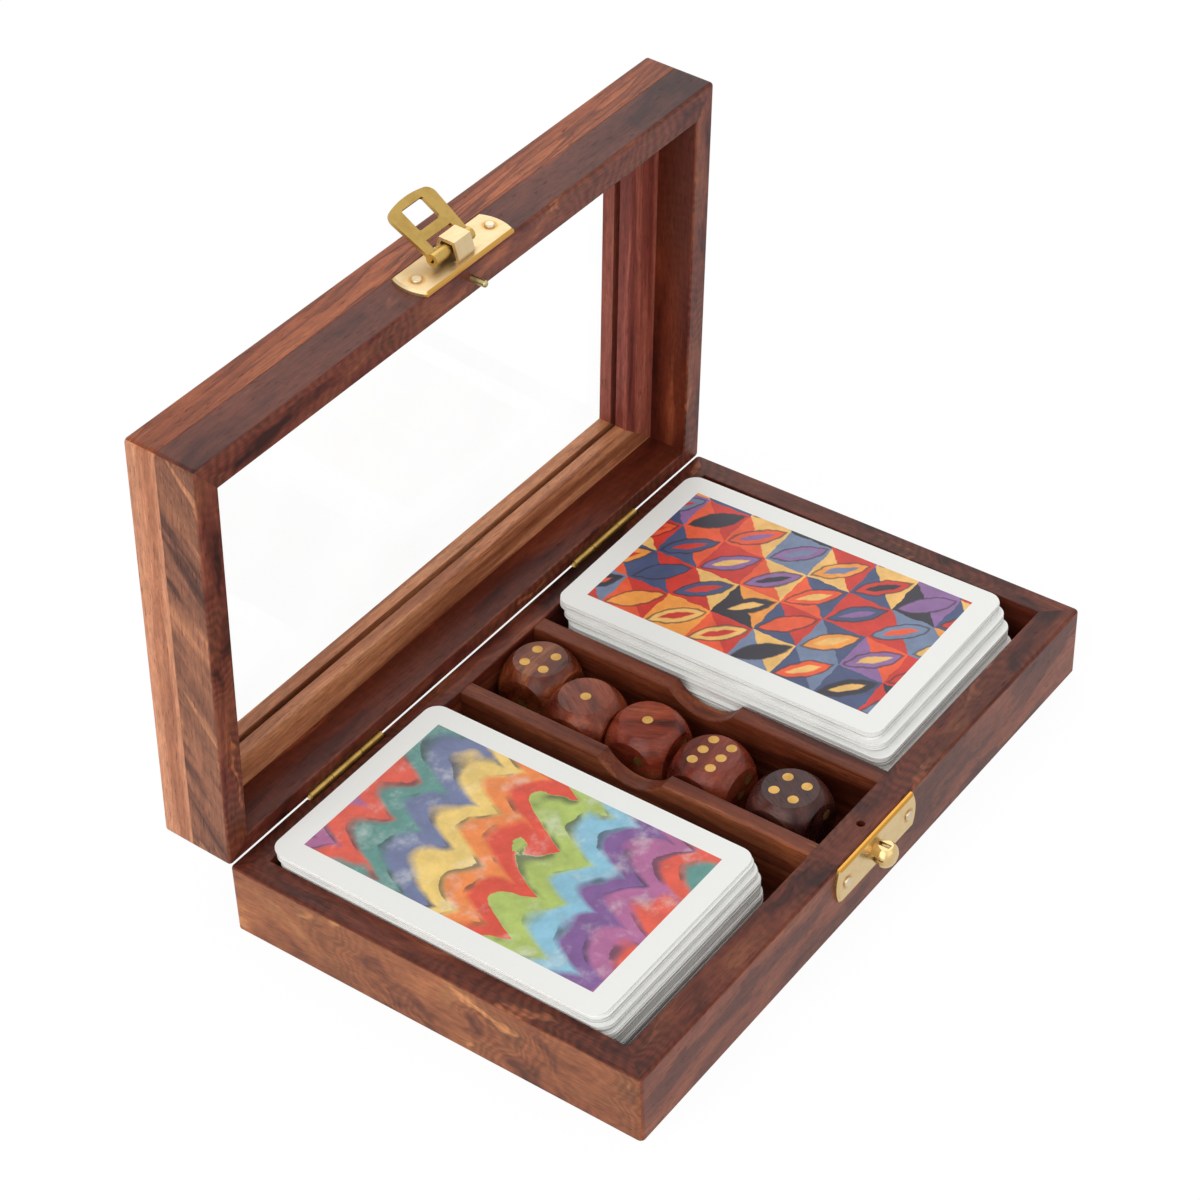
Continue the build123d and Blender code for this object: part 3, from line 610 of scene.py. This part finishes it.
def waves(sheet):
    """Wet bands of colour that roll over the card in scallops, with ink run along their edges."""
    drift = noise(scaled(sheet, 0.045, 0.045, 0.045), 2.0, 0.5)
    swing = abs((axis(sheet, "X") * scallop_turn + drift * 3.0).sine())
    slope = axis(sheet, "Y") - axis(sheet, "X") * band_slope
    level = (slope - swing * scallop_depth + drift * drift_depth) / band_repeat
    bleed = noise(scaled(sheet, 0.5, 0.5, 0.5), 4.0, 0.7)
    share = (level + bleed * 0.02 + 10.0) % 1.0
    last = len(wave_tones)
    stops = []
    for step, tone in enumerate(wave_tones):
        stops += [(step / last, tint(*tone)), ((step + 0.62) / last, tint(*tone))]
    bands = ramp(share, stops)
    edge = (share * last) % 1.0
    ink = rise(edge, 0.55, 0.95) * rise(edge, 1.0, 0.97)
    run = rise(noise(scaled(sheet, 0.09, 0.09, 0.09)), 0.46, 0.6)
    pale = rise(noise(scaled(sheet, 0.12, 0.12, 0.12), 4.0, 0.6), 0.5, 0.75) * 0.4
    return mixed(ink * run * 0.7, mixed(pale, bands, card_white), tint(48, 48, 58))


quilt_tones = [
    (236, 92, 50), (244, 158, 70), (70, 82, 118), (206, 56, 44), (142, 104, 156), (44, 42, 52),
    (240, 190, 110), (116, 132, 160),
]
quilt_cell = 11.7
quilt_wobble = 1.6
leaf_edge, vein_edge, leaf_blur = 0.93, 0.8, 0.02


def quilt(sheet):
    """Patches halved from corner to corner, each with a leaf laid over it and a vein in that."""
    wobble = noise(scaled(sheet, 0.3, 0.3, 0.3), 2.0, 0.5, "Color")
    shaken = sheet.node(
        "ShaderNodeVectorMath", {"operation": "MULTIPLY_ADD"},
        {0: wobble, 1: (quilt_wobble, quilt_wobble, 0), 2: sheet},
    )
    grid = scaled(shaken, 1 / quilt_cell, 1 / quilt_cell, 0)
    cell = grid.node("ShaderNodeVectorMath", {"operation": "FLOOR"}, {0: grid})
    inside = grid.node("ShaderNodeVectorMath", {"operation": "FRACTION"}, {0: grid})
    x, y = axis(inside, "X"), axis(inside, "Y")

    def patch(number):
        pick = cell.node(
            "ShaderNodeTexWhiteNoise", {"noise_dimensions": "4D"}, {"Vector": cell, "W": number}
        )
        last = len(quilt_tones)
        stops = [(step / last, tint(*tone)) for step, tone in enumerate(quilt_tones)]
        return ramp(pick, stops, "CONSTANT")

    near = (x * x + y * y).root()
    far = ((1.0 - x) * (1.0 - x) + (1.0 - y) * (1.0 - y)).root()
    leaf = near.larger(far)
    halves = mixed(rise(x - y, -leaf_blur, leaf_blur), patch(1.0), patch(2.0))
    leafed = mixed(rise(leaf, leaf_edge + leaf_blur, leaf_edge - leaf_blur), halves, patch(3.0))
    veined = mixed(rise(leaf, vein_edge + leaf_blur, vein_edge - leaf_blur), leafed, patch(4.0))
    outline = rise(abs(leaf - leaf_edge), 0.035, 0.01) * 0.7
    return mixed(outline, veined, tint(52, 40, 48))


card_print("deck_left_top_card", 0.0, waves)
card_print("deck_right_top_card", 0.77, quilt)
